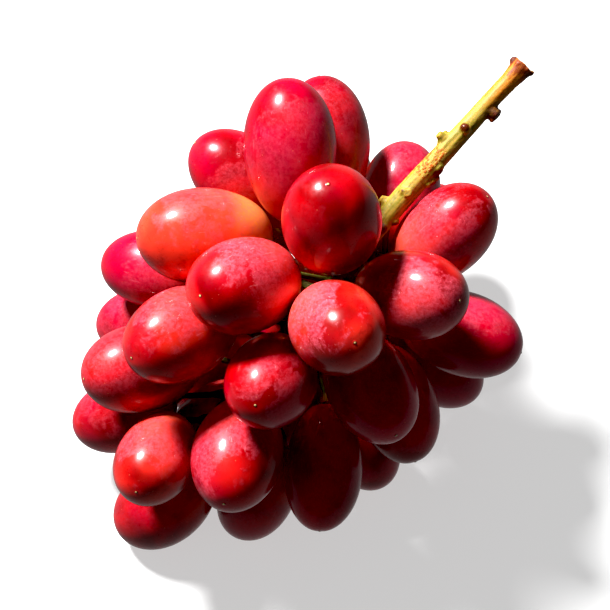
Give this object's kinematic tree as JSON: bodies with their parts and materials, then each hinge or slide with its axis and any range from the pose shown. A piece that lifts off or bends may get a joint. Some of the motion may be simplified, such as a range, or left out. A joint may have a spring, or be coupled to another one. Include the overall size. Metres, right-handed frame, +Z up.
{
  "type": "bunch of grapes",
  "caption": "Bunch of large oval red grapes on one branching woody stem, lying on its side and resting on the berries underneath.",
  "frame": {"origin": "on the resting surface, under the middle of the bunch's box", "axes": "+Z up from the resting surface; the bare stem points to +X, +Y and up"},
  "size_m": [0.1282, 0.1294, 0.113],
  "materials": {
    "berry_skin": "smooth glossy crimson grape skin, orange-red near the stalk, with a thin waxy bloom",
    "stem": "fresh yellow-green grape stem with brown specks, scars and a dry brown cut end"
  },
  "bodies": {
    "root": {"stem": "stem", "berry_01": "berry_skin", "berry_02": "berry_skin", "berry_03": "berry_skin", "berry_04": "berry_skin", "berry_05": "berry_skin", "berry_06": "berry_skin", "berry_07": "berry_skin", "berry_08": "berry_skin", "berry_09": "berry_skin", "berry_10": "berry_skin", "berry_11": "berry_skin", "berry_12": "berry_skin", "berry_13": "berry_skin", "berry_14": "berry_skin", "berry_15": "berry_skin", "berry_16": "berry_skin", "berry_17": "berry_skin", "berry_18": "berry_skin", "berry_19": "berry_skin", "berry_20": "berry_skin", "berry_21": "berry_skin", "berry_22": "berry_skin", "berry_23": "berry_skin", "berry_24": "berry_skin", "berry_25": "berry_skin", "berry_26": "berry_skin", "berry_27": "berry_skin", "berry_28": "berry_skin", "berry_29": "berry_skin", "berry_30": "berry_skin", "berry_31": "berry_skin", "berry_32": "berry_skin", "berry_33": "berry_skin", "berry_34": "berry_skin", "berry_35": "berry_skin", "berry_36": "berry_skin", "berry_37": "berry_skin", "berry_38": "berry_skin", "berry_39": "berry_skin", "berry_40": "berry_skin", "berry_41": "berry_skin"}
  },
  "joints": []
}
